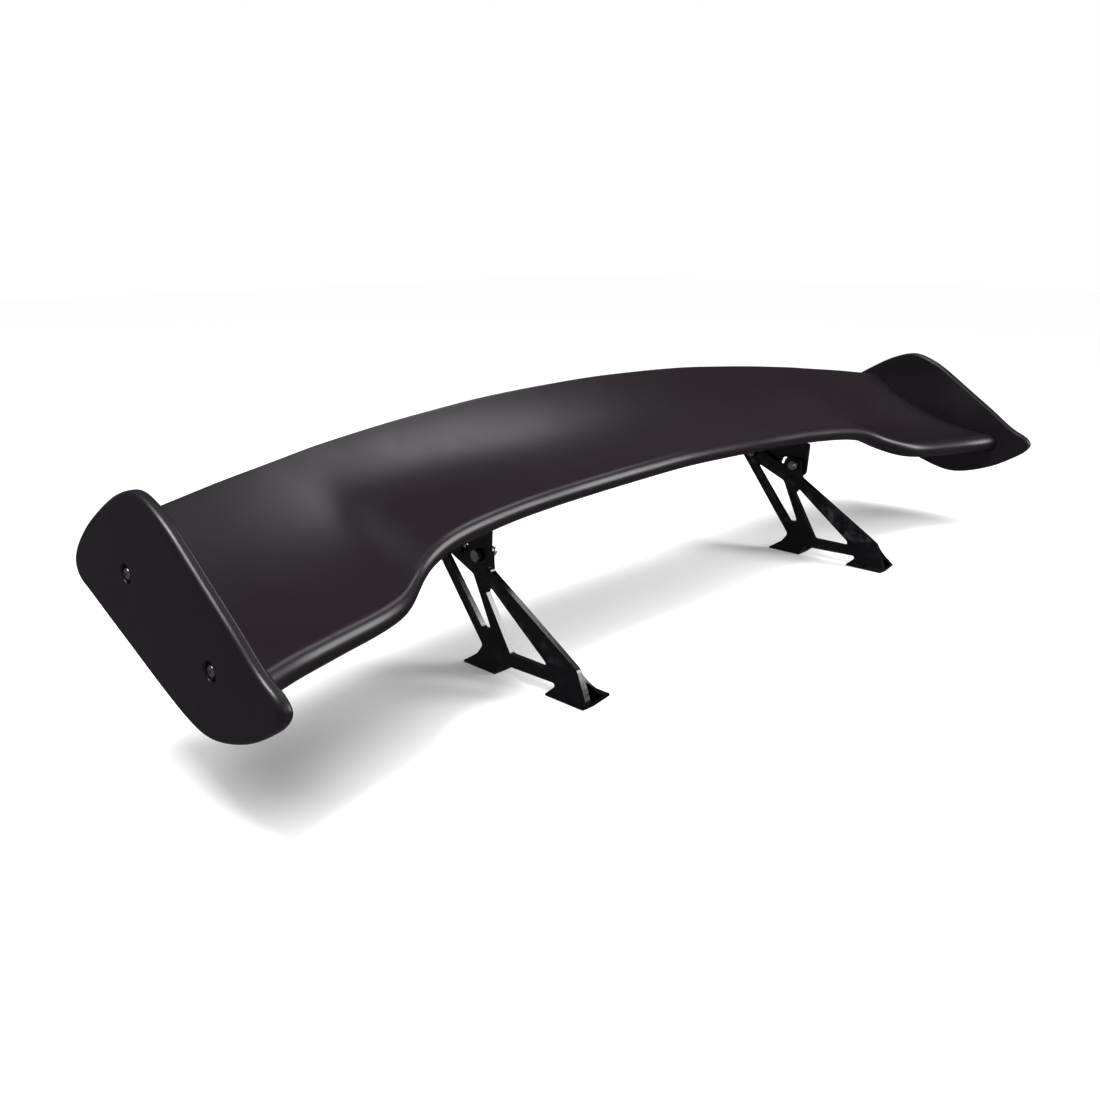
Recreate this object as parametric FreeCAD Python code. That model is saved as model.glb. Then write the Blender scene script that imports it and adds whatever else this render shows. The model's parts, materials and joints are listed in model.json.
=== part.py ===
import FreeCAD, Part
import os
import math
from FreeCAD import Vector as V

os.makedirs("parts", exist_ok=True)

# Racing rear wing: hollow moulded blade, two end plates, two truss legs and the
# tilting joint between them.  Millimetres.  +X along the span, -Y towards the
# front of the car (leading edge), +Z up.  Origin on the deck, under the middle.

# ---------------------------------------------------------------- dimensions
SPAN = 1450.0             # over the outer faces of the end plates
PLATE_T = 13.5            # end plate thickness
PLATE_R_OUT = 5.5         # rounding of the plate's outer rim
PLATE_R_IN = 4.5          # rounding of the plate's inner rim
DATUM = -8.0              # profile datum to the part's origin, along Y
WALL = 3.0                # blade skin
END_X = SPAN / 2 - PLATE_T

LEG_X = 328.5             # middle plane of each leg
LEG_T = 7.0               # leg web thickness
FOOT_OUT = 8.0            # foot flange, short side
FOOT_IN = 42.0            # foot flange, long side
FOOT_T = 4.0              # flange thickness at its rim
DECK_HOLE_R = 3.25        # M6 clearance
DECK_HOLE_DX = 24.0       # deck hole from the leg's middle plane
DECK_HOLE_Y = (43.0, -94.0)

PIVOT = (34.0, 143.0)     # tilt axis
PIVOT_R = 4.0             # M8
LOCK = (112.0, 152.0)     # clamp bolt that locks the angle
LOCK_R = 3.0              # M6
RUN = 0.05                # radial running clearance
TILT_UP = 8.0             # degrees, trailing edge up
TILT_DOWN = 5.0           # degrees, trailing edge down

BR_T = 6.0                # wing bracket web
BR_GAP = 0.1              # between bracket web and leg web
FL_T = 5.0                # wing bracket flange
FL_W = 44.0
PAD_W = 50.0              # moulded pad under the blade
PAD_Y = (30.0, 128.0)
PAD_Q = (63.0, 196.7)     # a point on the pad's flat face
PAD_A = math.radians(22.5)
GASKET_T = 2.0
FIX_DX = (-16.0, 14.0)    # bracket screws across the flange
FIX_S = (-16.0, 52.0)     # bracket screws along the flange, from PAD_Q

PLATE_FIX = ((74.0, 203.0), (-71.0, 151.0))   # end plate screws

X = V(1, 0, 0)


def pt(x, y, z):
    return V(x, y + DATUM, z)


def save(shape, name):
    if isinstance(shape, (list, tuple)):
        shape = Part.makeCompound(list(shape))
    shape.exportStep("parts/%s.step" % name)


def mir(s):
    return s.mirror(V(0, 0, 0), X)


def cyl(x0, x1, y, z, r):
    """Round bar along X from x0 to x1."""
    a, b = min(x0, x1), max(x0, x1)
    return Part.makeCylinder(r, b - a, pt(a, y, z), X)


def hexbar(x0, x1, y, z, af, turn=0.0):
    a, b = min(x0, x1), max(x0, x1)
    r = af / math.sqrt(3.0)
    ps = [pt(a, y + r * math.cos(turn + k * math.pi / 3), z + r * math.sin(turn + k * math.pi / 3)) for k in range(6)]
    return Part.Face(Part.makePolygon(ps + [ps[0]])).extrude(V(b - a, 0, 0))


def rounded(poly, x):
    """Closed wire in a plane X = x from (y, z, radius) corners."""
    n = len(poly)
    edges = []
    ends = []
    for i in range(n):
        p0 = V(x, poly[i - 1][0], poly[i - 1][1])
        p = V(x, poly[i][0], poly[i][1])
        p1 = V(x, poly[(i + 1) % n][0], poly[(i + 1) % n][1])
        r = poly[i][2]
        u = (p0 - p).normalize()
        w = (p1 - p).normalize()
        if r <= 0:
            ends.append((p, p, None))
            continue
        half = u.getAngle(w) / 2
        d = r / math.tan(half)
        a = p + u * d
        b = p + w * d
        bis = (u + w).normalize()
        m = p + bis * (r / math.sin(half) - r)
        ends.append((a, b, m))
    for i in range(n):
        a, b, m = ends[i]
        if m is not None:
            edges.append(Part.Arc(a, m, b).toShape())
        q = ends[(i + 1) % n][0]
        if (q - b).Length > 1e-4:
            edges.append(Part.LineSegment(b, q).toShape())
    w = Part.Wire(Part.__sortEdges__(edges))
    w.translate(V(0, DATUM, 0))
    return w


def prism(poly, x0, x1):
    return Part.Face(rounded(poly, x0)).extrude(V(x1 - x0, 0, 0))


# ---------------------------------------------------------------- blade
# Stations along the half span: distance from the middle, nose centre (y, z),
# nose radius, trailing edge top corner (y, z), slope at nose and at the tail.
STATIONS = [
    (0.0,    0.7, 209.0, 12.0, 171.0, 302.5, 9.0, 50.0),
    (100.0,  2.7, 206.2, 12.0, 170.0, 301.0, 9.0, 50.0),
    (200.0,  6.0, 201.5, 12.0, 168.5, 297.5, 9.0, 50.0),
    (300.0,  0.5, 198.0, 12.0, 164.5, 290.5, 9.0, 50.0),
    (350.0, -4.5, 195.0, 12.1, 161.5, 286.5, 9.0, 50.0),
    (400.0, -10.5, 190.5, 12.2, 157.0, 282.0, 9.0, 49.5),
    (430.0, -15.0, 185.5, 12.3, 154.0, 279.0, 9.0, 49.5),
    (460.0, -22.0, 175.5, 12.5, 150.5, 276.0, 8.5, 49.0),
    (480.0, -31.5, 165.0, 12.6, 147.5, 274.0, 8.0, 49.0),
    (500.0, -45.5, 156.5, 12.8, 144.0, 271.5, 7.5, 49.0),
    (520.0, -57.0, 152.0, 13.0, 140.5, 269.0, 7.0, 48.5),
    (550.0, -66.5, 148.8, 13.2, 135.0, 265.5, 6.5, 48.5),
    (600.0, -76.5, 145.6, 13.5, 126.5, 259.5, 6.0, 48.0),
    (650.0, -88.0, 143.3, 13.8, 117.0, 252.5, 5.5, 48.0),
    (711.5, -111.5, 142.5, 14.0, 105.0, 244.0, 5.0, 48.0),
]
THICK_T = [0.0, 0.15, 0.4, 0.6, 0.8, 0.9, 1.0]
THICK_MID = [24.0, 22.4, 21.0, 19.4, 15.6, 12.0, 7.0]
THICK_TIP = [28.0, 26.4, 25.0, 24.0, 20.5, 15.5, 7.5]


def pchip(xs, ys, x, flat0=True):
    n = len(xs)
    h = [xs[i + 1] - xs[i] for i in range(n - 1)]
    d = [(ys[i + 1] - ys[i]) / h[i] for i in range(n - 1)]
    m = [0.0] * n
    for i in range(1, n - 1):
        if d[i - 1] * d[i] > 0:
            w1, w2 = 2 * h[i] + h[i - 1], h[i] + 2 * h[i - 1]
            m[i] = (w1 + w2) / (w1 / d[i - 1] + w2 / d[i])
    m[0] = 0.0 if flat0 else d[0]
    m[-1] = d[-1]
    if x <= xs[0]:
        return ys[0]
    if x >= xs[-1]:
        return ys[-1] + m[-1] * (x - xs[-1])
    i = max(k for k in range(n - 1) if xs[k] <= x)
    t = (x - xs[i]) / h[i]
    return (ys[i] * (1 + 2 * t) * (1 - t) ** 2 + m[i] * h[i] * t * (1 - t) ** 2
            + ys[i + 1] * t * t * (3 - 2 * t) + m[i + 1] * h[i] * t * t * (t - 1))


SX = [s[0] for s in STATIONS]


def station(x):
    a = abs(x)
    return [pchip(SX, [s[k] for s in STATIONS], a) for k in range(1, 8)]


def thick(x, t):
    r = station(x)[2]
    w = (r - 12.0) / 2.0
    return (1 - w) * pchip(THICK_T, THICK_MID, t, True) + w * pchip(THICK_T, THICK_TIP, t, True)


UP_T = [1.0, 0.93, 0.86, 0.78, 0.7, 0.6, 0.5, 0.4, 0.3, 0.2, 0.1, 0.04, 0.0]


def upper(x, t):
    """Point on the upper skin and its normal, t from the nose to the tail."""
    yn, zn, r, yt, zt, a0, a1 = station(x)
    a0, a1 = math.radians(a0), math.radians(a1)
    p0 = (yn - r * math.sin(a0), zn + r * math.cos(a0))
    p3 = (yt, zt)
    c = math.hypot(p3[0] - p0[0], p3[1] - p0[1])
    w = (r - 12.0) / 2.0
    k0, k1 = 0.47 - 0.085 * w, 0.325 - 0.068 * w
    p1 = (p0[0] + k0 * c * math.cos(a0), p0[1] + k0 * c * math.sin(a0))
    p2 = (p3[0] - k1 * c * math.cos(a1), p3[1] - k1 * c * math.sin(a1))
    b = [(1 - t) ** 3, 3 * t * (1 - t) ** 2, 3 * t * t * (1 - t), t ** 3]
    y = b[0] * p0[0] + b[1] * p1[0] + b[2] * p2[0] + b[3] * p3[0]
    z = b[0] * p0[1] + b[1] * p1[1] + b[2] * p2[1] + b[3] * p3[1]
    e = [(1 - t) ** 2, 2 * t * (1 - t), t * t]
    dy = e[0] * (p1[0] - p0[0]) + e[1] * (p2[0] - p1[0]) + e[2] * (p3[0] - p2[0])
    dz = e[0] * (p1[1] - p0[1]) + e[1] * (p2[1] - p1[1]) + e[2] * (p3[1] - p2[1])
    n = math.hypot(dy, dz)
    return y, z, -dz / n, dy / n


def section(x, inset=0.0):
    """Closed wire of the blade's section, or of its hollow when inset > 0."""
    tmax = 1.0 if inset == 0 else 0.93
    ts = [t * tmax for t in UP_T]
    pts = []
    for t in ts:
        y, z, ny, nz = upper(x, t)
        pts.append(pt(x, y - ny * inset, z - nz * inset))
    yn, zn, r, yt, zt, a0, a1 = station(x)
    a0 = math.radians(a0)
    rr = r - inset
    for k in (30, 60, 90, 120, 150):
        a = math.pi / 2 + a0 + math.radians(k)
        pts.append(pt(x, yn + rr * math.cos(a), zn + rr * math.sin(a)))
    for t in reversed(ts):
        y, z, ny, nz = upper(x, t)
        th = thick(x, t) - inset
        pts.append(pt(x, y - ny * th, z - nz * th))
    c = Part.BSplineCurve()
    c.interpolate(Points=pts, Parameters=[float(i) for i in range(len(pts))])
    return Part.Wire([c.toShape(), Part.LineSegment(pts[-1], pts[0]).toShape()])


def loft(xend, inset):
    xs = [0, 60, 120, 180, 240, 300, 350, 395, 425, 450, 470, 488, 505, 525, 550, 585, 625, 668]
    xs = [-xend] + [-float(v) for v in reversed(xs[1:])] + [float(v) for v in xs] + [xend]
    s = Part.makeLoft([section(v, inset) for v in xs], True, False)
    return s


outer = loft(END_X, 0.0)
hollow = loft(END_X - 4.5, WALL)
blade = outer.cut(hollow)

ca, sa = math.cos(PAD_A), math.sin(PAD_A)


def on_pad(x, s, h):
    """Point over the pad plane: s along the slope, h below it."""
    return pt(x, PAD_Q[0] + s * ca + h * sa, PAD_Q[1] + s * sa - h * ca)


def slab(xc, w, s0, s1, h0, h1, r=0.0):
    """Plate parallel to the pad plane, between depths h0 and h1 under it."""
    a = on_pad(xc - w / 2, s0, h0)
    b = Part.makeBox(w, s1 - s0, h1 - h0)
    m = FreeCAD.Placement(a, FreeCAD.Rotation(X, math.degrees(PAD_A)))
    b.translate(V(0, 0, -(h1 - h0)))
    b.Placement = m.multiply(b.Placement)
    if r > 0:
        nrm = V(0, -sa, ca)
        es = [e for e in b.Edges if abs(e.tangentAt(e.FirstParameter).dot(nrm)) > 0.999]
        b = b.makeFillet(r, es)
    return b


DOWN = V(0, sa, -ca)
PAD_S = ((PAD_Y[0] - PAD_Q[0]) / ca, (PAD_Y[1] - PAD_Q[0]) / ca)
adds = []
cuts = []
for sgn in (-1, 1):
    adds.append(slab(sgn * LEG_X, PAD_W, PAD_S[0], PAD_S[1], -12.0, 0.0, 6.0))
    for dx in FIX_DX:
        for s in FIX_S:
            cuts.append(Part.makeCylinder(4.25, 10.2, on_pad(sgn * (LEG_X - dx), s, 0.0), -DOWN))
for sgn in (-1, 1):
    for y, z in PLATE_FIX:
        adds.append(cyl(sgn * (END_X - 18.0), sgn * END_X, y, z, 9.0).common(outer))
        cuts.append(cyl(sgn * (END_X - 14.0), sgn * (END_X + 1), y, z, 4.5))
for a in adds:
    blade = blade.fuse(a)
for c in cuts:
    blade = blade.cut(c)
sol = sorted(blade.Solids, key=lambda s: -s.Volume)[0]
print("blade volume", round(sol.Volume), "middle", round(sol.CenterOfMass.x, 3), len(blade.Solids))
save(sol, "wing_blade")

# ---------------------------------------------------------------- end plates
OUTLINE = [(16, 279.5), (39, 285), (60, 282), (88, 272), (118, 256.5), (148, 238.5), (173, 219.5), (189, 203),
           (195.5, 188), (191, 175.5), (173, 165.2), (145, 153.4), (97, 133.2), (52, 114.2), (9, 97), (-22, 87),
           (-47, 83), (-74, 86), (-103, 94.5), (-132, 107), (-157, 122), (-173, 134), (-179.7, 146.5),
           (-173, 156.3), (-155, 166), (-122, 188.6), (-76, 221.5), (-41, 246.5), (-12, 266)]
oc = Part.BSplineCurve()
oc.interpolate(Points=[pt(END_X, y, z) for y, z in OUTLINE], PeriodicFlag=True)
plate = Part.Face(Part.Wire([oc.toShape()])).extrude(V(PLATE_T, 0, 0))


def rim(shape, x):
    return [e for e in shape.Edges if abs(e.BoundBox.XMin - x) < 1e-3 and abs(e.BoundBox.XMax - x) < 1e-3]


plate = plate.makeFillet(PLATE_R_OUT, rim(plate, SPAN / 2))
plate = plate.makeFillet(PLATE_R_IN, rim(plate, END_X))
REC_D = 5.0
for y, z in PLATE_FIX:
    plate = plate.cut(cyl(SPAN / 2 - REC_D, SPAN / 2 + 1, y, z, 9.5))
    plate = plate.cut(cyl(END_X - 1, SPAN / 2, y, z, 3.3))
    cone = Part.makeCone(9.5, 11.5, 2.0, pt(SPAN / 2 - 1.6, y, z), X)
    plate = plate.cut(cone)
save(plate, "left_end_plate")
save(mir(plate), "right_end_plate")

WASH_T = 1.2
screws, washers, inserts = [], [], []
for y, z in PLATE_FIX:
    f = SPAN / 2 - REC_D
    w = cyl(f, f + WASH_T, y, z, 7.0).cut(cyl(f - 1, f + 2, y, z, 3.2))
    washers.append(w)
    b = f + WASH_T
    head = cyl(b, b + 3.3, y, z, 5.5)
    e = [e for e in head.Edges if abs(e.BoundBox.XMin - (b + 3.3)) < 1e-3]
    head = head.makeFillet(2.2, e)
    s = head.fuse(cyl(END_X - 12.5, b, y, z, 3.0))
    s = s.cut(hexbar(b + 1.3, b + 4, y, z, 4.0))
    screws.append(s)
    i = cyl(END_X - 14.0, END_X, y, z, 4.5).cut(cyl(END_X - 15, END_X + 1, y, z, 3.0 + RUN))
    inserts.append(i)
save(screws, "left_end_plate_screws")
save([mir(s) for s in screws], "right_end_plate_screws")
save(washers, "left_end_plate_washers")
save([mir(s) for s in washers], "right_end_plate_washers")
save(inserts, "left_blade_end_inserts")
save([mir(s) for s in inserts], "right_blade_end_inserts")

# ---------------------------------------------------------------- legs
# Side view of the web: (y, z, corner radius).
WEB = [(69, 0, 0), (69, 2.5, 1.0), (49, 16, 8), (39, 29, 6), (160, 184.5, 5), (55, 139.5, 4), (50, 153, 6),
       (22, 153, 7), (21, 124.5, 5), (-115, 41.5, 8), (-128, 8, 5), (-128, 0, 0), (-70, 0, 0), (-70, 2.5, 1.0), (-85, 16.5, 3),
       (-6, 14.5, 3), (6, 14.0, 3), (14, 0, 0)]
WIN1 = [(108, 139, 2.0), (52, 115, 7), (22.5, 51.5, 5), (37.5, 50.5, 5)]
WIN2 = [(23.5, 106, 2.0), (30.5, 97.5, 2.5), (-9.5, 30.5, 4.5), (-75.5, 30.5, 4.5)]
# Foot: concave flanks drawn as an (x, z) section along Y, trimmed in side view
# and in plan, then by the web's outline.


def flank(y0, y1, side, plan):
    a = LEG_T / 2
    short = [Part.LineSegment(V(-1, 0, -1), V(-FOOT_OUT, 0, -1)).toShape(),
             Part.LineSegment(V(-FOOT_OUT, 0, -1), V(-FOOT_OUT, 0, 2.5)).toShape(),
             Part.Arc(V(-FOOT_OUT, 0, 2.5), V(-a - 1.3, 0, 7.0), V(-a + 0.5, 0, 16)).toShape(),
             Part.LineSegment(V(-a + 0.5, 0, 16), V(-1, 0, 16)).toShape(),
             Part.LineSegment(V(-1, 0, 16), V(-1, 0, -1)).toShape()]
    long = [Part.LineSegment(V(1, 0, -1), V(FOOT_IN, 0, -1)).toShape(),
            Part.LineSegment(V(FOOT_IN, 0, -1), V(FOOT_IN, 0, FOOT_T - 1.2)).toShape(),
            Part.Arc(V(FOOT_IN, 0, FOOT_T - 1.2), V(21.5, 0, 14.5), V(a - 0.6, 0, 39)).toShape(),
            Part.LineSegment(V(a - 0.6, 0, 39), V(1, 0, 39)).toShape(),
            Part.LineSegment(V(1, 0, 39), V(1, 0, -1)).toShape()]
    out = []
    for edges in (short, long):
        f = Part.Face(Part.Wire(edges))
        f.translate(V(0, y0 + DATUM, 0))
        b = f.extrude(V(0, y1 - y0, 0)).common(prism(side, -60.0, 60.0))
        if edges is long:
            q = [pt(x, y, -5) for x, y in plan]
            b = b.common(Part.Face(Part.makePolygon(q + [q[0]])).extrude(V(0, 0, 60)))
        out.append(b)
    return out


SIDE1 = [(80, -5, 0), (80, 41, 0), (9, 41, 0), (9, -5, 0)]
SIDE2 = [(-134, -5, 0), (-60, -5, 0), (-96, 41, 0), (-134, 41, 0)]
PLAN1 = [(0.5, 11.5), (44.0, 19.0), (44.0, 85.0), (0.5, 85.0)]
PLAN2 = [(0.5, -129.5), (44.0, -122.0), (44.0, -50.0), (0.5, -50.0)]
# Hollow under the long flank, open to the front: (x, z) section.
HOLLOW = [(4.6, FOOT_T), (4.6, 29.0), (18.0, 12.0), (30.0, FOOT_T)]


def leg():
    slab_w = Part.makeBox(LEG_T, 400, 260, V(-LEG_T / 2, -200, -2))
    body = slab_w.fuse(flank(2, 78, SIDE1, PLAN1) + flank(-132, -55, SIDE2, PLAN2))
    w = body.common(prism(WEB, -FOOT_OUT - 2, FOOT_IN + 2))
    for win in (WIN1, WIN2):
        w = w.cut(prism(win, -LEG_T, LEG_T))
    for y0, y1 in ((5.0, 33.0), (-135.0, -93.0)):
        q = [pt(x, y0, z) for x, z in HOLLOW]
        w = w.cut(Part.Face(Part.makePolygon(q + [q[0]])).extrude(V(0, y1 - y0, 0)))
    for y in DECK_HOLE_Y:
        w = w.cut(Part.makeCylinder(DECK_HOLE_R, 60, pt(DECK_HOLE_DX, y, -1), V(0, 0, 1)))
        w = w.cut(Part.makeCylinder(6.5, 60, pt(DECK_HOLE_DX, y, 5.2), V(0, 0, 1)))
    w = w.cut(cyl(-LEG_T, LEG_T, PIVOT[0], PIVOT[1], PIVOT_R + RUN))
    w = w.cut(cyl(-LEG_T, LEG_T, LOCK[0], LOCK[1], LOCK_R + RUN))
    return w


# ---------------------------------------------------------------- wing bracket
LOCK_RAD = math.hypot(LOCK[0] - PIVOT[0], LOCK[1] - PIVOT[1])
LOCK_ANG = math.atan2(LOCK[1] - PIVOT[1], LOCK[0] - PIVOT[0])


def polar(r, a):
    return (PIVOT[0] + r * math.cos(a), PIVOT[1] + r * math.sin(a))


def slot(x0, x1, w):
    a0 = LOCK_ANG - math.radians(TILT_UP)
    a1 = LOCK_ANG + math.radians(TILT_DOWN)
    am = (a0 + a1) / 2

    def q(r, a):
        y, z = polar(r, a)
        return pt(x0, y, z)
    i, o = LOCK_RAD - w, LOCK_RAD + w

    def tip(a, s):
        y, z = polar(LOCK_RAD, a)
        t = a + s * math.pi / 2
        return pt(x0, y + w * math.cos(t), z + w * math.sin(t))
    e = [Part.Arc(q(i, a0), q(i, am), q(i, a1)).toShape(),
         Part.Arc(q(i, a1), tip(a1, 1), q(o, a1)).toShape(),
         Part.Arc(q(o, a1), q(o, am), q(o, a0)).toShape(),
         Part.Arc(q(o, a0), tip(a0, -1), q(i, a0)).toShape()]
    return Part.Face(Part.Wire(e)).extrude(V(x1 - x0, 0, 0))


def bracket():
    h0 = GASKET_T
    fl = slab(0, FL_W, PAD_S[0], PAD_S[1], h0, h0 + FL_T, 6.0)
    x1 = -LEG_T / 2 - BR_GAP
    x0 = x1 - BR_T

    def under(y, d):
        return PAD_Q[1] + (y - PAD_Q[0]) * math.tan(PAD_A) - d / ca
    d = h0 + 1.0
    web = [(30, under(30, d), 0), (15, 177, 3), (18.5, 130, 8), (28, 122, 8), (47, 124.5, 9), (52.5, 134, 5), (52.5, 153, 1.5),
           (62, 149.5, 1.5), (67, 137, 6), (95, 133, 10), (112, 130, 10), (126, 143, 10), (134, 200, 8),
           (126, under(126, d), 0)]
    w = prism(web, x0, x1)
    b = fl.fuse(w)
    b = b.cut(cyl(x0 - 1, x1 + 1, PIVOT[0], PIVOT[1], PIVOT_R + RUN))
    b = b.cut(slot(x0 - 1, x1 + 1, LOCK_R + 0.2))
    for dx in FIX_DX:
        for s in FIX_S:
            b = b.cut(Part.makeCylinder(3.2, 30, on_pad(dx, s, -5), DOWN))
    return b.removeSplitter()


def gasket():
    g = slab(0, FL_W, PAD_S[0], PAD_S[1], 0.0, GASKET_T, 6.0)
    for dx in FIX_DX:
        for s in FIX_S:
            g = g.cut(Part.makeCylinder(3.3, 30, on_pad(dx, s, -5), DOWN))
    return g


def bracket_fixings():
    ins, scr = [], []
    for dx in FIX_DX:
        for s in FIX_S:
            c = Part.makeCylinder(4.25, 10.0, on_pad(dx, s, 0.0), -DOWN)
            ins.append(c.cut(Part.makeCylinder(3.0 + RUN, 12.0, on_pad(dx, s, 1.0), -DOWN)))
            b = GASKET_T + FL_T
            hd = Part.makeCylinder(5.0, 3.2, on_pad(dx, s, b), DOWN)
            far = on_pad(dx, s, b + 3.2)
            e = [e for e in hd.Edges if (e.BoundBox.Center - far).Length < 0.5]
            hd = hd.makeFillet(1.6, e)
            sc = hd.fuse(Part.makeCylinder(3.0, b + 9.0, on_pad(dx, s, b), -DOWN))
            r = 4.0 / math.sqrt(3.0)
            ax = V(0, ca, sa)
            ps = [on_pad(dx, s, b + 1.4) + X * (r * math.cos(k * math.pi / 3)) + ax * (r * math.sin(k * math.pi / 3))
                  for k in range(6)]
            sc = sc.cut(Part.Face(Part.makePolygon(ps + [ps[0]])).extrude(DOWN * 4))
            scr.append(sc)
    return ins, scr


def washer(x0, t, y, z, ro, ri):
    return cyl(x0, x0 + t, y, z, ro).cut(cyl(x0 - 1, x0 + t + 1, y, z, ri))


def joint_fixings():
    """Pivot bolt, its washers and nut; lock bolt, its washers and nut."""
    g = 0.02
    xb = -LEG_T / 2 - BR_GAP - BR_T - g      # outer face of the bracket web
    xl = LEG_T / 2 + g                        # far face of the leg web
    out = {}
    for nm, (y, z), r, wo, wt, af, hh, nh, turn in (
            ("pivot", PIVOT, PIVOT_R, 8.0, 1.6, 13.0, 5.3, 8.0, 0.2),
            ("lock", LOCK, LOCK_R, 8.0, 1.6, 10.0, 4.0, 6.0, 0.5)):
        w = [washer(xb - wt, wt, y, z, wo, r + 0.2), washer(xl, wt, y, z, wo, r + 0.2)]
        xh = xb - wt - g
        head = hexbar(xh - hh, xh, y, z, af, turn)
        cone = Part.makeCone(af * 0.5, af * 0.5 + hh * 1.9, hh, pt(xh - hh, y, z), X)
        head = head.common(cone)
        bolt = head.fuse(cyl(xh, xl + wt + nh + 2.5, y, z, r))
        xn = xl + wt + g
        nut = hexbar(xn, xn + nh * 0.72, y, z, af, turn + 0.3)
        nut = nut.common(Part.makeCone(af * 0.5 + nh * 0.72 * 1.9, af * 0.5 + 0.2, nh * 0.72, pt(xn, y, z), X))
        nut = nut.fuse(cyl(xn + nh * 0.72 - 0.01, xn + nh, y, z, af * 0.44))
        nut = nut.cut(cyl(xn - 1, xn + nh + 1, y, z, r + RUN))
        out[nm] = (bolt, w, nut)
    return out


L = leg()
B = bracket()
G = gasket()
I, S = bracket_fixings()
J = joint_fixings()
for side, x in (("left", LEG_X), ("right", -LEG_X)):
    def at(s):
        """Brackets and their hardware sit on the outer face of each leg."""
        c = s.mirror(V(0, 0, 0), X) if x > 0 else s.copy()
        c.translate(V(x, 0, 0))
        return c

    foot_side = L.copy()          # both legs turn their wide flanges the same way
    foot_side.translate(V(x, 0, 0))
    save(foot_side, side + "_leg")
    save(at(B), side + "_wing_bracket")
    save(at(G), side + "_bracket_gasket")
    save([at(s) for s in I], side + "_bracket_inserts")
    save([at(s) for s in S], side + "_bracket_screws")
    for nm in ("pivot", "lock"):
        b, w, n = J[nm]
        save(at(b), "%s_%s_bolt" % (side, nm))
        save([at(s) for s in w], "%s_%s_washers" % (side, nm))
        save(at(n), "%s_%s_nut" % (side, nm))
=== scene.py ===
import bpy
import bmesh
import json
import math
from mathutils import Matrix, Vector
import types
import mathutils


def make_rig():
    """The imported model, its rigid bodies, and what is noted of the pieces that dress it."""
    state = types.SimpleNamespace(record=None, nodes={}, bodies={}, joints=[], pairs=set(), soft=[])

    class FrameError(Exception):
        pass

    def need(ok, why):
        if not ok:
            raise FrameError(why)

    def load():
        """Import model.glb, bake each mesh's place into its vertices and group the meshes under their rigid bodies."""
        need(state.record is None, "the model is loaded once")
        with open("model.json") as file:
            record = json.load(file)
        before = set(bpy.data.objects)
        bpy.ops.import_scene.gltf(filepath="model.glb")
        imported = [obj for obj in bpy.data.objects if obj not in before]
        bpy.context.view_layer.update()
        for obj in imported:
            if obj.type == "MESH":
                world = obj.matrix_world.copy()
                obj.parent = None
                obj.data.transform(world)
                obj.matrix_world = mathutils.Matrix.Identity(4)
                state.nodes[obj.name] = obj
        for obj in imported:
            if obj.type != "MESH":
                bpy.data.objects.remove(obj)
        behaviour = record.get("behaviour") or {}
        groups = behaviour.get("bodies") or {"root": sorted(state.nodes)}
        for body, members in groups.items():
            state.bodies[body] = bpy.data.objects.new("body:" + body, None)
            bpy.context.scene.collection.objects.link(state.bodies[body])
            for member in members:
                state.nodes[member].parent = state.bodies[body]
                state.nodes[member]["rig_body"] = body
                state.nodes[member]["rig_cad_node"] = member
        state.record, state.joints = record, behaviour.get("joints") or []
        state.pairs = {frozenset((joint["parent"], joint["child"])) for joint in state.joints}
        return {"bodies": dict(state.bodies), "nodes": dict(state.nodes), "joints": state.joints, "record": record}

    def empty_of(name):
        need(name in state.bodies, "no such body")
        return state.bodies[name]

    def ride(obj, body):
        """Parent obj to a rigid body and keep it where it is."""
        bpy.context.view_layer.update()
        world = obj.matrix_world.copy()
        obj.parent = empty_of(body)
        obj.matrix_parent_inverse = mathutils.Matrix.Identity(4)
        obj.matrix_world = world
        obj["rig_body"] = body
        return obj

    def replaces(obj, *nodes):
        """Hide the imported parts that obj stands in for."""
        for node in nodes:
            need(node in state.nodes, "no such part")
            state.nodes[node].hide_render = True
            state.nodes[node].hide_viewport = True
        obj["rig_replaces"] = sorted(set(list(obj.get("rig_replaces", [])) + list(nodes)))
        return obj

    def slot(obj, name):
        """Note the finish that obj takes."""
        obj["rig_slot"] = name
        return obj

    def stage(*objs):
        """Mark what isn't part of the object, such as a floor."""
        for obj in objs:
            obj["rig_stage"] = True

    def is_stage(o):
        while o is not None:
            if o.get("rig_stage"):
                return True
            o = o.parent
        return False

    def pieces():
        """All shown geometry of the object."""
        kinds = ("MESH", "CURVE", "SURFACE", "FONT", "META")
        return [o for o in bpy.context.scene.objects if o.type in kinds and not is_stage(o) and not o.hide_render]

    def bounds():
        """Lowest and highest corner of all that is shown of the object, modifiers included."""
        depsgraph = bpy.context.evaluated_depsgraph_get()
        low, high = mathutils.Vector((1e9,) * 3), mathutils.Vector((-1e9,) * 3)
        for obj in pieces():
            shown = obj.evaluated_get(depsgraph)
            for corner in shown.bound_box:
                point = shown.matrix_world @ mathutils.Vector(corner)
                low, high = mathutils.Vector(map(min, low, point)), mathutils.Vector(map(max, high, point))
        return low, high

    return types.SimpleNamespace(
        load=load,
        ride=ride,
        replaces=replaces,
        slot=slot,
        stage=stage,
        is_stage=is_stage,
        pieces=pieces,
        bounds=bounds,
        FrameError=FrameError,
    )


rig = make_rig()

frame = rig.load()
CAD_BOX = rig.bounds()
MM = 0.001
DATUM = -8.0          # profile datum to the part's origin, along Y
SPAN = 1450.0
PLATE_T = 13.5
END_X = SPAN / 2 - PLATE_T

# ------------------------------------------------------------------ camera
CAM_POS = (-1.08137, -0.83375, 0.49113)
YAW, PITCH, ROLL = 0.78484, 0.29389, -0.009136


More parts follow.
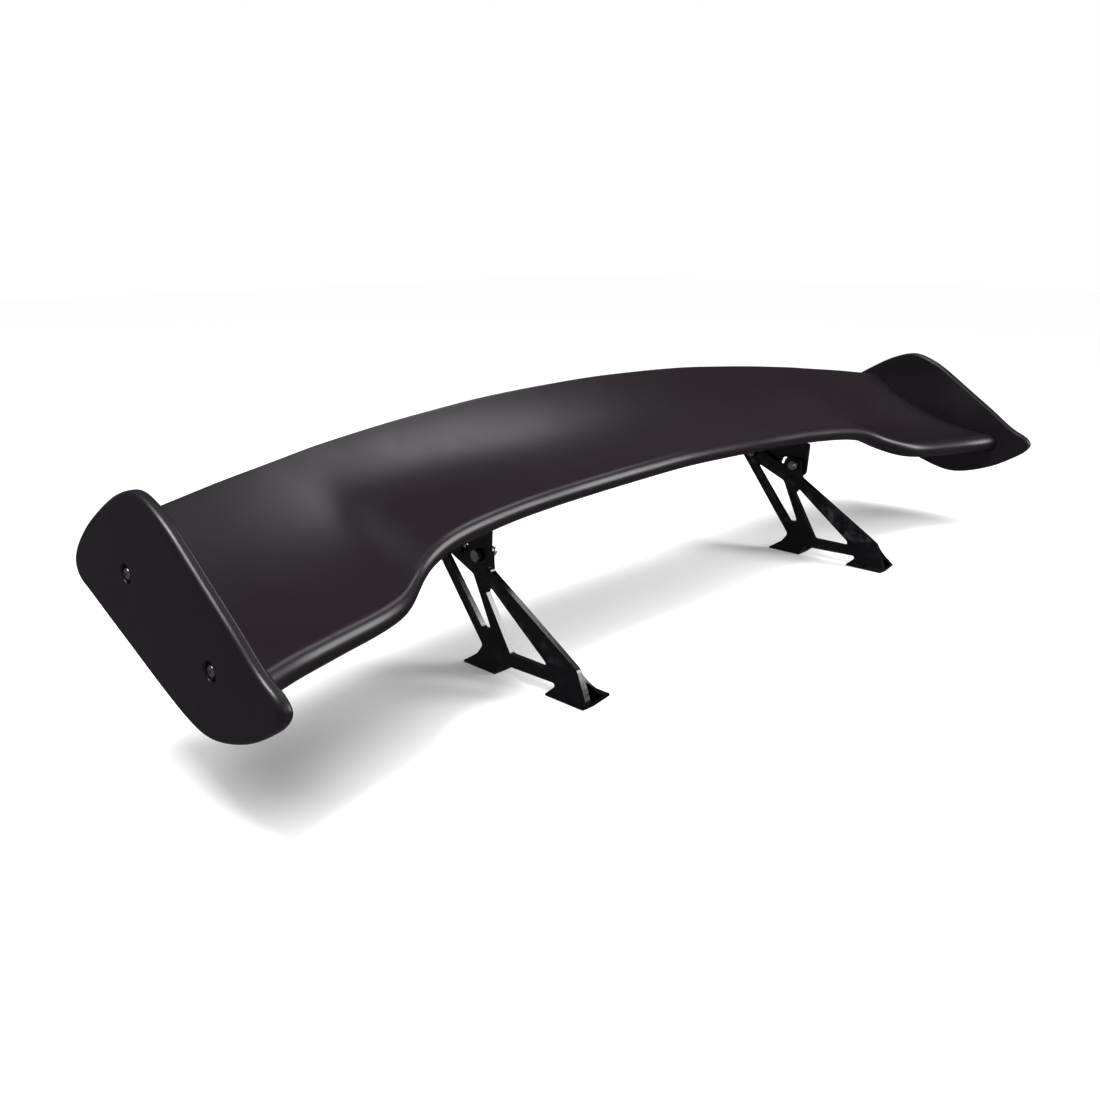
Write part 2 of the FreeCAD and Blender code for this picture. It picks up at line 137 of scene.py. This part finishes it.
def make_camera():
    f = Vector((math.sin(YAW) * math.cos(PITCH), math.cos(YAW) * math.cos(PITCH), -math.sin(PITCH)))
    r = f.cross(Vector((0, 0, 1))).normalized()
    u = r.cross(f)
    c, s = math.cos(ROLL), math.sin(ROLL)
    r2 = c * r + s * u
    u2 = -s * r + c * u
    cam = bpy.data.cameras.new("camera")
    cam.sensor_width = 36.0
    cam.sensor_height = 36.0
    cam.sensor_fit = "HORIZONTAL"
    cam.lens = 33.85
    cam.clip_start = 0.01
    cam.clip_end = 50.0
    ob = bpy.data.objects.new("camera", cam)
    bpy.context.scene.collection.objects.link(ob)
    m = Matrix(((r2.x, u2.x, -f.x, CAM_POS[0]), (r2.y, u2.y, -f.y, CAM_POS[1]),
                (r2.z, u2.z, -f.z, CAM_POS[2]), (0, 0, 0, 1)))
    ob.matrix_world = m
    bpy.context.scene.camera = ob


make_camera()


# ------------------------------------------------------------------ materials
def new_mat(name):
    m = bpy.data.materials.new(name)
    m.use_nodes = True
    nt = m.node_tree
    for n in list(nt.nodes):
        nt.nodes.remove(n)
    out = nt.nodes.new("ShaderNodeOutputMaterial")
    b = nt.nodes.new("ShaderNodeBsdfPrincipled")
    nt.links.new(b.outputs[0], out.inputs[0])
    return m, nt, b


def noise(nt, coord, scale, detail=2.0, rough=0.5, stretch=None):
    n = nt.nodes.new("ShaderNodeTexNoise")
    n.inputs["Scale"].default_value = scale
    n.inputs["Detail"].default_value = detail
    n.inputs["Roughness"].default_value = rough
    if stretch is not None:
        mp = nt.nodes.new("ShaderNodeMapping")
        mp.inputs["Scale"].default_value = stretch
        nt.links.new(coord, mp.inputs[0])
        coord = mp.outputs[0]
    nt.links.new(coord, n.inputs["Vector"])
    return n.outputs["Fac"]


def ramp(nt, fac, stops):
    r = nt.nodes.new("ShaderNodeValToRGB")
    el = r.color_ramp.elements
    el[0].position, el[0].color = stops[0][0], (*stops[0][1], 1)
    el[1].position, el[1].color = stops[1][0], (*stops[1][1], 1)
    for p, c in stops[2:]:
        e = el.new(p)
        e.color = (*c, 1)
    nt.links.new(fac, r.inputs[0])
    return r.outputs[0]


def rng(nt, fac, a, b, lo=0.0, hi=1.0):
    r = nt.nodes.new("ShaderNodeMapRange")
    r.inputs["From Min"].default_value = lo
    r.inputs["From Max"].default_value = hi
    r.inputs["To Min"].default_value = a
    r.inputs["To Max"].default_value = b
    nt.links.new(fac, r.inputs["Value"])
    return r.outputs[0]


def bump(nt, h, strength, dist, prev=None):
    b = nt.nodes.new("ShaderNodeBump")
    b.inputs["Strength"].default_value = strength
    b.inputs["Distance"].default_value = dist
    nt.links.new(h, b.inputs["Height"])
    if prev is not None:
        nt.links.new(prev, b.inputs["Normal"])
    return b.outputs[0]


def mixc(nt, fac, a, b):
    m = nt.nodes.new("ShaderNodeMix")
    m.data_type = "RGBA"
    nt.links.new(fac, m.inputs[0])
    for k, v in ((6, a), (7, b)):
        if isinstance(v, tuple):
            m.inputs[k].default_value = (*v, 1)
        else:
            nt.links.new(v, m.inputs[k])
    return m.outputs[2]


def edge_mask(nt, coord, lo=0.52, hi=0.62):
    """Mask for a painted highlight along convex edges (high Pointiness), broken up by noise."""
    g = nt.nodes.new("ShaderNodeNewGeometry")
    e = rng(nt, g.outputs["Pointiness"], 0.0, 1.0, lo, hi)
    n = noise(nt, coord, 55.0, 3.0, 0.6)
    n2 = rng(nt, n, 0.0, 1.0, 0.45, 0.7)
    m = nt.nodes.new("ShaderNodeMath")
    m.operation = "MULTIPLY"
    m.use_clamp = True
    nt.links.new(e, m.inputs[0])
    nt.links.new(n2, m.inputs[1])
    return m.outputs[0]


def obj_coord(nt):
    return nt.nodes.new("ShaderNodeTexCoord").outputs["Object"]


def moulded_plastic(name, base, light, rough, grain=1.0, spec=0.3):
    m, nt, b = new_mat(name)
    co = obj_coord(nt)
    big = noise(nt, co, 5.0, 3.0, 0.55)
    mid = noise(nt, co, 42.0, 3.0, 0.6)
    c = mixc(nt, rng(nt, big, 0.0, 1.0, 0.35, 0.68), base, light)
    # painted highlight: the colour is lightened along convex edges, standing in for edge highlights
    edge_highlight = edge_mask(nt, co, 0.535, 0.66)
    c = mixc(nt, edge_highlight, c, tuple(min(1.0, v * 1.6 + 0.006) for v in light))
    nt.links.new(c, b.inputs["Base Color"])
    fine = noise(nt, co, 1500.0, 2.0, 0.6)
    pores = noise(nt, co, 620.0, 2.0, 0.5)
    flow = noise(nt, co, 9.0, 2.0, 0.5, (0.35, 1.0, 1.0))
    r = nt.nodes.new("ShaderNodeMath")
    r.operation = "ADD"
    nt.links.new(rng(nt, mid, rough - 0.014, rough + 0.014, 0.3, 0.7), r.inputs[0])
    nt.links.new(rng(nt, flow, -0.012, 0.012, 0.3, 0.7), r.inputs[1])
    nt.links.new(r.outputs[0], b.inputs["Roughness"])
    n = bump(nt, flow, 0.2, 0.00025)
    n = bump(nt, pores, 0.35 * grain, 0.00009, n)
    n = bump(nt, fine, 0.5 * grain, 0.00004, n)
    nt.links.new(n, b.inputs["Normal"])
    b.inputs["IOR"].default_value = 1.46
    b.inputs["Specular IOR Level"].default_value = spec
    return m


def gloss_paint(name, base, rough=0.16):
    m, nt, b = new_mat(name)
    co = obj_coord(nt)
    peel = noise(nt, co, 260.0, 2.0, 0.5)
    mid = noise(nt, co, 30.0, 3.0, 0.6)
    dust = noise(nt, co, 900.0, 3.0, 0.7)
    # painted highlight: convex edges are lightened towards (0.028, 0.028, 0.030), standing in for the bright edge
    # lines
    edge_highlight = edge_mask(nt, co, 0.55, 0.68)
    c = mixc(nt, rng(nt, mid, 0.0, 1.0, 0.35, 0.7), base, tuple(v * 1.5 + 0.001 for v in base))
    c = mixc(nt, edge_highlight, c, (0.028, 0.028, 0.030))
    nt.links.new(c, b.inputs["Base Color"])
    nt.links.new(rng(nt, mid, rough - 0.04, rough + 0.07, 0.3, 0.75), b.inputs["Roughness"])
    n = bump(nt, peel, 0.16, 0.0003)
    n = bump(nt, dust, 0.12, 0.00005, n)
    nt.links.new(n, b.inputs["Normal"])
    b.inputs["Specular IOR Level"].default_value = 0.5
    return m


def metal(name, base, rough, dark=0.75, scale=900.0, stretch=(1, 1, 1)):
    m, nt, b = new_mat(name)
    co = obj_coord(nt)
    grain = noise(nt, co, scale, 3.0, 0.6, stretch)
    blot = noise(nt, co, 130.0, 3.0, 0.6)
    c = mixc(nt, rng(nt, blot, 0.0, 1.0, 0.35, 0.7), base, tuple(v * dark for v in base))
    nt.links.new(c, b.inputs["Base Color"])
    nt.links.new(rng(nt, grain, rough - 0.07, rough + 0.09, 0.3, 0.7), b.inputs["Roughness"])
    nt.links.new(bump(nt, grain, 0.25, 0.00004), b.inputs["Normal"])
    b.inputs["Metallic"].default_value = 1.0
    return m


def rubber(name, base):
    m, nt, b = new_mat(name)
    co = obj_coord(nt)
    g = noise(nt, co, 1400.0, 3.0, 0.6)
    d = noise(nt, co, 60.0, 3.0, 0.6)
    c = mixc(nt, rng(nt, d, 0.0, 0.7, 0.4, 0.7), base, tuple(v * 1.9 for v in base))
    nt.links.new(c, b.inputs["Base Color"])
    nt.links.new(rng(nt, d, 0.7, 0.9, 0.3, 0.7), b.inputs["Roughness"])
    nt.links.new(bump(nt, g, 0.5, 0.00008), b.inputs["Normal"])
    return m


M_BLADE = moulded_plastic("blade_plastic", (0.0060, 0.0038, 0.0058), (0.0072, 0.0048, 0.0070), 0.34, 0.55, 0.5)
M_PLATE = moulded_plastic("plate_plastic", (0.0070, 0.0054, 0.0080), (0.0084, 0.0066, 0.0094), 0.34, 0.45, 0.5)
M_LEG = gloss_paint("leg_paint", (0.0012, 0.0012, 0.0016), 0.14)
M_STEEL = metal("bright_steel", (0.66, 0.66, 0.67), 0.27)
M_BLACK = metal("black_steel", (0.020, 0.020, 0.022), 0.32)
M_BRASS = metal("insert_brass", (0.72, 0.53, 0.25), 0.32)
M_RUBBER = rubber("gasket_rubber", (0.018, 0.018, 0.019))


# ------------------------------------------------------------------ blade shape
STATIONS = [
    (0.0,    0.7, 209.0, 12.0, 171.0, 302.5, 9.0, 50.0),
    (100.0,  2.7, 206.2, 12.0, 170.0, 301.0, 9.0, 50.0),
    (200.0,  6.0, 201.5, 12.0, 168.5, 297.5, 9.0, 50.0),
    (300.0,  0.5, 198.0, 12.0, 164.5, 290.5, 9.0, 50.0),
    (350.0, -4.5, 195.0, 12.1, 161.5, 286.5, 9.0, 50.0),
    (400.0, -10.5, 190.5, 12.2, 157.0, 282.0, 9.0, 49.5),
    (430.0, -15.0, 185.5, 12.3, 154.0, 279.0, 9.0, 49.5),
    (460.0, -22.0, 175.5, 12.5, 150.5, 276.0, 8.5, 49.0),
    (480.0, -31.5, 165.0, 12.6, 147.5, 274.0, 8.0, 49.0),
    (500.0, -45.5, 156.5, 12.8, 144.0, 271.5, 7.5, 49.0),
    (520.0, -57.0, 152.0, 13.0, 140.5, 269.0, 7.0, 48.5),
    (550.0, -66.5, 148.8, 13.2, 135.0, 265.5, 6.5, 48.5),
    (600.0, -76.5, 145.6, 13.5, 126.5, 259.5, 6.0, 48.0),
    (650.0, -88.0, 143.3, 13.8, 117.0, 252.5, 5.5, 48.0),
    (711.5, -111.5, 142.5, 14.0, 105.0, 244.0, 5.0, 48.0),
]
THICK_T = [0.0, 0.15, 0.4, 0.6, 0.8, 0.9, 1.0]
THICK_MID = [24.0, 22.4, 21.0, 19.4, 15.6, 12.0, 7.0]
THICK_TIP = [28.0, 26.4, 25.0, 24.0, 20.5, 15.5, 7.5]
SX = [s[0] for s in STATIONS]


def pchip(xs, ys, x):
    n = len(xs)
    h = [xs[i + 1] - xs[i] for i in range(n - 1)]
    d = [(ys[i + 1] - ys[i]) / h[i] for i in range(n - 1)]
    m = [0.0] * n
    for i in range(1, n - 1):
        if d[i - 1] * d[i] > 0:
            w1, w2 = 2 * h[i] + h[i - 1], h[i] + 2 * h[i - 1]
            m[i] = (w1 + w2) / (w1 / d[i - 1] + w2 / d[i])
    m[-1] = d[-1]
    if x <= xs[0]:
        return ys[0]
    if x >= xs[-1]:
        return ys[-1] + m[-1] * (x - xs[-1])
    i = max(k for k in range(n - 1) if xs[k] <= x)
    t = (x - xs[i]) / h[i]
    return (ys[i] * (1 + 2 * t) * (1 - t) ** 2 + m[i] * h[i] * t * (1 - t) ** 2
            + ys[i + 1] * t * t * (3 - 2 * t) + m[i + 1] * h[i] * t * t * (t - 1))


_cache = {}


def station(x):
    """Section parameters at x, evened out over a few millimetres."""
    a = round(abs(x), 3)
    if a not in _cache:
        acc = [0.0] * 7
        tot = 0.0
        for i in range(-6, 7):
            d = i * 3.0
            w = math.exp(-0.5 * (d / 8.0) ** 2)
            q = abs(a + d)
            for k in range(7):
                acc[k] += w * pchip(SX, [s[k + 1] for s in STATIONS], q)
            tot += w
        _cache[a] = [v / tot for v in acc]
    return _cache[a]


def section(x, inset=0.0):
    """Closed ring of (y, z) in mm, counted from the tail over the top and back underneath."""
    yn, zn, r, yt, zt, a0, a1 = station(x)
    a0r, a1r = math.radians(a0), math.radians(a1)
    w = (r - 12.0) / 2.0
    k0, k1 = 0.47 - 0.085 * w, 0.325 - 0.068 * w
    p0 = (yn - r * math.sin(a0r), zn + r * math.cos(a0r))
    p3 = (yt, zt)
    c = math.hypot(p3[0] - p0[0], p3[1] - p0[1])
    p1 = (p0[0] + k0 * c * math.cos(a0r), p0[1] + k0 * c * math.sin(a0r))
    p2 = (p3[0] - k1 * c * math.cos(a1r), p3[1] - k1 * c * math.sin(a1r))
    wt = max(0.0, w)

    def up(t):
        b = [(1 - t) ** 3, 3 * t * (1 - t) ** 2, 3 * t * t * (1 - t), t ** 3]
        y = b[0] * p0[0] + b[1] * p1[0] + b[2] * p2[0] + b[3] * p3[0]
        z = b[0] * p0[1] + b[1] * p1[1] + b[2] * p2[1] + b[3] * p3[1]
        e = [(1 - t) ** 2, 2 * t * (1 - t), t * t]
        dy = e[0] * (p1[0] - p0[0]) + e[1] * (p2[0] - p1[0]) + e[2] * (p3[0] - p2[0])
        dz = e[0] * (p1[1] - p0[1]) + e[1] * (p2[1] - p1[1]) + e[2] * (p3[1] - p2[1])
        n = math.hypot(dy, dz)
        return y, z, -dz / n, dy / n

    def low(t):
        y, z, ny, nz = up(t)
        th = (1 - wt) * pchip(THICK_T, THICK_MID, t) + wt * pchip(THICK_T, THICK_TIP, t) - inset
        return y - ny * th, z - nz * th

    def top(t):
        y, z, ny, nz = up(t)
        return y - ny * inset, z - nz * inset

    rt = 2.7
    te = 1.0 - rt / (3 * k1 * c)
    ring = []
    A, B = top(1.0), low(1.0)
    L = math.hypot(B[0] - A[0], B[1] - A[1])
    f = min(0.47, rt / L)
    A2 = (A[0] + (B[0] - A[0]) * f, A[1] + (B[1] - A[1]) * f)
    B2 = (B[0] + (A[0] - B[0]) * f, B[1] + (A[1] - B[1]) * f)

    def quad(p, q, s, n=6):
        o = []
        for i in range(n + 1):
            t = i / n
            o.append(((1 - t) ** 2 * p[0] + 2 * t * (1 - t) * q[0] + t * t * s[0],
                      (1 - t) ** 2 * p[1] + 2 * t * (1 - t) * q[1] + t * t * s[1]))
        return o
    ring += quad(A2, A, top(te))
    NU = 46
    for i in range(1, NU + 1):
        ring.append(top(te * (1 - i / NU)))
    rr = r - inset
    for k in range(12, 180, 12):
        a = math.pi / 2 + a0r + math.radians(k)
        ring.append((yn + rr * math.cos(a), zn + rr * math.sin(a)))
    for i in range(0, NU):
        ring.append(low(te * i / NU))
    ring += quad(low(te), B, B2)
    return ring


def add_object(name, mesh):
    ob = bpy.data.objects.new(name, mesh)
    bpy.context.scene.collection.objects.link(ob)
    return ob


def smooth(ob):
    for p in ob.data.polygons:
        p.use_smooth = True


def weighted(ob, angle=None):
    if angle is not None:
        m = ob.modifiers.new("split", "EDGE_SPLIT")
        m.split_angle = math.radians(angle)
        m.use_edge_sharp = False
    w = ob.modifiers.new("weighted", "WEIGHTED_NORMAL")
    w.keep_sharp = True
    w.weight = 80
    return ob


def build_blade():
    xs = []
    x = 0.0
    while x < END_X - 14:
        xs.append(x)
        x += 5.0 if 425 < x < 545 else 9.0
    tail = [(END_X - 12, 0.0), (END_X - 6, 0.0), (END_X - 1.6, 0.0), (END_X - 0.9, 0.25), (END_X - 0.35, 0.7), (END_X, 1.4)]
    right = [(v, 0.0) for v in xs] + tail
    allx = [(-v, i) for v, i in reversed(right[1:])] + right
    bm = bmesh.new()
    rings = []
    for v, inset in allx:
        ring = section(v, inset)
        rings.append([bm.verts.new((v * MM, (y + DATUM) * MM, z * MM)) for y, z in ring])
    n = len(rings[0])
    for a, b in zip(rings[:-1], rings[1:]):
        for i in range(n):
            j = (i + 1) % n
            bm.faces.new((a[i], a[j], b[j], b[i]))
    bm.faces.new(list(reversed(rings[0])))
    bm.faces.new(rings[-1])
    bmesh.ops.recalc_face_normals(bm, faces=bm.faces)
    me = bpy.data.meshes.new("blade_skin")
    bm.to_mesh(me)
    bm.free()
    ob = add_object("blade_skin", me)
    smooth(ob)
    return ob


PAD_Q = (63.0, 196.7)
PAD_A = math.radians(22.5)
PAD_Y = (30.0, 128.0)
LEG_X = 328.5


def build_pads(blade):
    """Flat moulded pads under the blade, softened all round, merged into the skin."""
    ca, sa = math.cos(PAD_A), math.sin(PAD_A)
    s0, s1 = (PAD_Y[0] - PAD_Q[0]) / ca, (PAD_Y[1] - PAD_Q[0]) / ca
    for xc in (-LEG_X, LEG_X):
        bm = bmesh.new()
        rings = []
        for h, g in ((0.0, 1.6), (0.35, 0.6), (1.4, 0.0), (12.0, 0.0)):
            loop = []
            r = 6.0 - g
            hw = 25.0 - g
            a, b = s0 + g, s1 - g
            for cx, cs, st in ((hw, b, 0), (-hw, b, 90), (-hw, a, 180), (hw, a, 270)):
                ox = cx - math.copysign(r, cx)
                os_ = cs - (r if cs == b else -r)
                for k in range(0, 91, 15):
                    t = math.radians(st + k)
                    loop.append((xc + ox + r * math.cos(t), os_ + r * math.sin(t)))
            rings.append([bm.verts.new((px * MM, (PAD_Q[0] + s * ca - h * sa + DATUM) * MM,
                                        (PAD_Q[1] + s * sa + h * ca) * MM)) for px, s in loop])
        for p, q in zip(rings[:-1], rings[1:]):
            for i in range(len(p)):
                j = (i + 1) % len(p)
                bm.faces.new((p[i], p[j], q[j], q[i]))
        bm.faces.new(list(reversed(rings[0])))
        bm.faces.new(rings[-1])
        bmesh.ops.recalc_face_normals(bm, faces=bm.faces)
        me = bpy.data.meshes.new("pad")
        bm.to_mesh(me)
        bm.free()
        pad = add_object("pad_tool", me)
        mod = blade.modifiers.new("pad", "BOOLEAN")
        mod.operation = "UNION"
        mod.solver = "EXACT"
        mod.object = pad
        bpy.context.view_layer.update()
        dg = bpy.context.evaluated_depsgraph_get()
        new = bpy.data.meshes.new_from_object(blade.evaluated_get(dg))
        blade.modifiers.clear()
        blade.data = new
        bpy.data.objects.remove(pad)
    for p in blade.data.polygons:
        p.use_smooth = True


blade = build_blade()
build_pads(blade)
blade.data.materials.clear()
blade.data.materials.append(M_BLADE)
weighted(blade, 50)
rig.ride(blade, "wing")
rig.replaces(blade, "wing_blade")
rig.slot(blade, "blade_plastic")

# ------------------------------------------------------------------ end plates
OUTLINE = [(16, 279.5), (39, 285), (60, 282), (88, 272), (118, 256.5), (148, 238.5), (173, 219.5), (189, 203),
           (195.5, 188), (191, 175.5), (173, 165.2), (145, 153.4), (97, 133.2), (52, 114.2), (9, 97), (-22, 87),
           (-47, 83), (-74, 86), (-103, 94.5), (-132, 107), (-157, 122), (-173, 134), (-179.7, 146.5),
           (-173, 156.3), (-155, 166), (-122, 188.6), (-76, 221.5), (-41, 246.5), (-12, 266)]
PLATE_FIX = ((74.0, 203.0), (-71.0, 151.0))


def solve_periodic(v, h):
    """Slopes of the smooth closed curve through values v with spans h."""
    n = len(v)
    m = [0.0] * n
    for _ in range(400):
        for i in range(n):
            hp, hn = h[i - 1], h[i]
            rhs = 3 * (hn / hp * (v[i] - v[i - 1]) + hp / hn * (v[(i + 1) % n] - v[i]))
            m[i] = (rhs - hn * m[i - 1] - hp * m[(i + 1) % n]) / (2 * (hn + hp))
    return m


def closed_curve(pts, step=3.0):
    n = len(pts)
    h = [math.dist(pts[i], pts[(i + 1) % n]) for i in range(n)]
    my = solve_periodic([p[0] for p in pts], h)
    mz = solve_periodic([p[1] for p in pts], h)
    out = []
    for i in range(n):
        j = (i + 1) % n
        k = max(2, int(round(h[i] / step)))
        for q in range(k):
            t = q / k
            a, b, c, d = (1 + 2 * t) * (1 - t) ** 2, t * (1 - t) ** 2, t * t * (3 - 2 * t), t * t * (t - 1)
            out.append((a * pts[i][0] + b * h[i] * my[i] + c * pts[j][0] + d * h[i] * my[j],
                        a * pts[i][1] + b * h[i] * mz[i] + c * pts[j][1] + d * h[i] * mz[j]))
    return out


def offset_curve(c, d):
    """Moves a clockwise outline inwards by d."""
    n = len(c)
    out = []
    for i in range(n):
        a, b = c[i - 1], c[(i + 1) % n]
        ty, tz = b[0] - a[0], b[1] - a[1]
        L = math.hypot(ty, tz)
        out.append((c[i][0] + d * tz / L, c[i][1] - d * ty / L))
    return out


def build_plate(name, sgn):
    c = closed_curve(OUTLINE)
    area = sum(c[i - 1][0] * c[i][1] - c[i][0] * c[i - 1][1] for i in range(len(c)))
    if area > 0:
        c.reverse()
    bm = bmesh.new()

    def ring(x, pts):
        return [bm.verts.new((sgn * x * MM, (y + DATUM) * MM, z * MM)) for y, z in pts]
    rings = []
    for k in range(0, 7):
        t = math.pi / 2 * k / 6
        rings.append(ring(END_X + 4.5 * (1 - math.cos(t)), offset_curve(c, 4.5 * (1 - math.sin(t)))))
    for k in range(0, 9):
        t = math.pi / 2 * k / 8
        rings.append(ring(SPAN / 2 - 5.5 * (1 - math.sin(t)), offset_curve(c, 5.5 * (1 - math.cos(t)))))
    n = len(c)
    for a, b in zip(rings[:-1], rings[1:]):
        for i in range(n):
            j = (i + 1) % n
            bm.faces.new((a[i], a[j], b[j], b[i]))
    N = 48
    mouths, backs = [], []
    for y0, z0 in PLATE_FIX:
        prof = [(11.6, SPAN / 2)]
        for k in range(1, 7):
            t = math.pi / 2 * k / 6
            prof.append((11.6 - 2.1 * math.sin(t), SPAN / 2 - 1.9 * (1 - math.cos(t))))
        prof += [(9.5, SPAN / 2 - 3.2), (9.5, SPAN / 2 - 4.4), (9.3, SPAN / 2 - 4.8), (8.8, SPAN / 2 - 5.0),
                 (6.5, SPAN / 2 - 5.0), (3.3, SPAN / 2 - 5.0), (3.3, END_X)]
        rr = []
        for r, x in prof:
            rr.append(ring(x, [(y0 + r * math.cos(2 * math.pi * k / N), z0 + r * math.sin(2 * math.pi * k / N)) for k in range(N)]))
        for a, b in zip(rr[:-1], rr[1:]):
            for i in range(N):
                j = (i + 1) % N
                bm.faces.new((a[i], a[j], b[j], b[i]))
        mouths.append(rr[0])
        backs.append(rr[-1])
    bm.edges.ensure_lookup_table()

    def cap(loops):
        es = []
        for lp in loops:
            for i in range(len(lp)):
                e = bm.edges.get((lp[i], lp[(i + 1) % len(lp)]))
                es.append(e)
        bmesh.ops.triangle_fill(bm, edges=es, use_beauty=True)
    cap([rings[-1]] + mouths)
    cap([rings[0]] + backs)
    bmesh.ops.recalc_face_normals(bm, faces=bm.faces)
    me = bpy.data.meshes.new(name)
    bm.to_mesh(me)
    bm.free()
    ob = add_object(name, me)
    smooth(ob)
    ob.data.materials.append(M_PLATE)
    weighted(ob, 50)
    return ob


for side, sgn in (("left", 1), ("right", -1)):
    p = build_plate(side + "_plate_shell", sgn)
    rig.ride(p, "wing")
    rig.replaces(p, side + "_end_plate")
    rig.slot(p, "plate_plastic")

# ------------------------------------------------------------------ carried-over nodes
LOOK = {"leg_paint": M_LEG, "black_steel": M_BLACK, "bright_steel": M_STEEL, "insert_brass": M_BRASS, "gasket_rubber": M_RUBBER,
        "blade_plastic": M_BLADE, "plate_plastic": M_PLATE}
slot_of = {s["node"]: s["material_slot"] for s in frame["record"]["subparts"]}
BEVEL = {"leg": 0.0009, "wing_bracket": 0.0007, "pivot_bolt": 0.00035, "pivot_nut": 0.00035, "lock_bolt": 0.0003,
         "lock_nut": 0.0003, "washers": 0.0002, "screws": 0.0002, "inserts": 0.0002, "gasket": 0.0003}
for name, ob in frame["nodes"].items():
    if name in ("wing_blade", "left_end_plate", "right_end_plate"):
        continue
    mat = LOOK[slot_of[name]]
    if not ob.material_slots:
        ob.data.materials.append(mat)
    for s in ob.material_slots:
        s.material = mat
    w = next((v for k, v in BEVEL.items() if name.endswith(k)), 0.0003)
    m = ob.modifiers.new("weld", "WELD")
    m.merge_threshold = 1e-6
    m = ob.modifiers.new("flat", "DECIMATE")
    m.decimate_type = "DISSOLVE"
    m.angle_limit = math.radians(0.5)
    m = ob.modifiers.new("bevel", "BEVEL")
    m.width = w
    m.segments = 3
    m.limit_method = "ANGLE"
    m.angle_limit = math.radians(38)
    m.use_clamp_overlap = True
    m.harden_normals = False
    m = ob.modifiers.new("weighted", "WEIGHTED_NORMAL")
    m.weight = 70
    for p in ob.data.polygons:
        p.use_smooth = True


# ------------------------------------------------------------------ stage and light
def stage():
    me = bpy.data.meshes.new("floor")
    s = 9.0
    me.from_pydata([(-s, -s, 0), (s, -s, 0), (s, s, 0), (-s, s, 0)], [], [(0, 1, 2, 3)])
    ob = add_object("floor", me)
    m, nt, b = new_mat("floor_white")
    b.inputs["Base Color"].default_value = (0.93, 0.93, 0.93, 1)
    b.inputs["Roughness"].default_value = 0.9
    b.inputs["Specular IOR Level"].default_value = 0.1
    me.materials.append(m)
    ob.visible_glossy = False
    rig.stage(ob)


def area(name, loc, target, size, power, size_y=None):
    li = bpy.data.lights.new(name, "AREA")
    li.energy = power
    li.size = size
    if size_y is not None:
        li.shape = "RECTANGLE"
        li.size_y = size_y
    ob = bpy.data.objects.new(name, li)
    bpy.context.scene.collection.objects.link(ob)
    ob.location = loc
    d = Vector(target) - Vector(loc)
    ob.rotation_euler = d.to_track_quat("-Z", "Y").to_euler()
    ob.visible_camera = False
    return ob


stage()
bpy.context.scene.view_settings.view_transform = "Standard"
world = bpy.data.worlds.new("world")
bpy.context.scene.world = world
world.use_nodes = True
wn = world.node_tree
bg = wn.nodes["Background"]
bg.inputs[0].default_value = (1.0, 0.90, 1.0, 1)
bg.inputs[1].default_value = 0.085
back = wn.nodes.new("ShaderNodeBackground")
back.inputs[0].default_value = (1.0, 1.0, 1.0, 1)
back.inputs[1].default_value = 1.0
lp = wn.nodes.new("ShaderNodeLightPath")
mx = wn.nodes.new("ShaderNodeMixShader")
wn.links.new(lp.outputs["Is Camera Ray"], mx.inputs[0])
wn.links.new(bg.outputs[0], mx.inputs[1])
wn.links.new(back.outputs[0], mx.inputs[2])
wn.links.new(mx.outputs[0], wn.nodes["World Output"].inputs[0])
sun = bpy.data.lights.new("overhead", "SUN")
sun.energy = 3.22
sun.angle = math.radians(80)
so = bpy.data.objects.new("overhead", sun)
bpy.context.scene.collection.objects.link(so)
so.rotation_euler = (math.radians(4), math.radians(-6), 0)
so.visible_glossy = False
# soft boxes: a tall one off the far front corner, one above the far side, a strip over the near end
area("far_front", (1.05, -1.41, 0.88), (-0.3285, 0.0, 0.065), 0.62, 34.0, 1.25)
area("far_side", (0.95, 0.02, 1.95), (-0.1, 0.05, 0.22), 0.9, 7.0, 0.5)
area("near_top", (-0.97, 0.12, 1.8), (-0.7, 0.0, 0.2), 0.30, 27.0, 0.8)

VIS_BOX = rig.bounds()
try:
    json.dump({"cad": [list(v) for v in CAD_BOX], "visual": [list(v) for v in VIS_BOX]}, open("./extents.json", "w"))
except TypeError:
    json.dump({"cad": str(CAD_BOX), "visual": str(VIS_BOX)}, open("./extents.json", "w"))
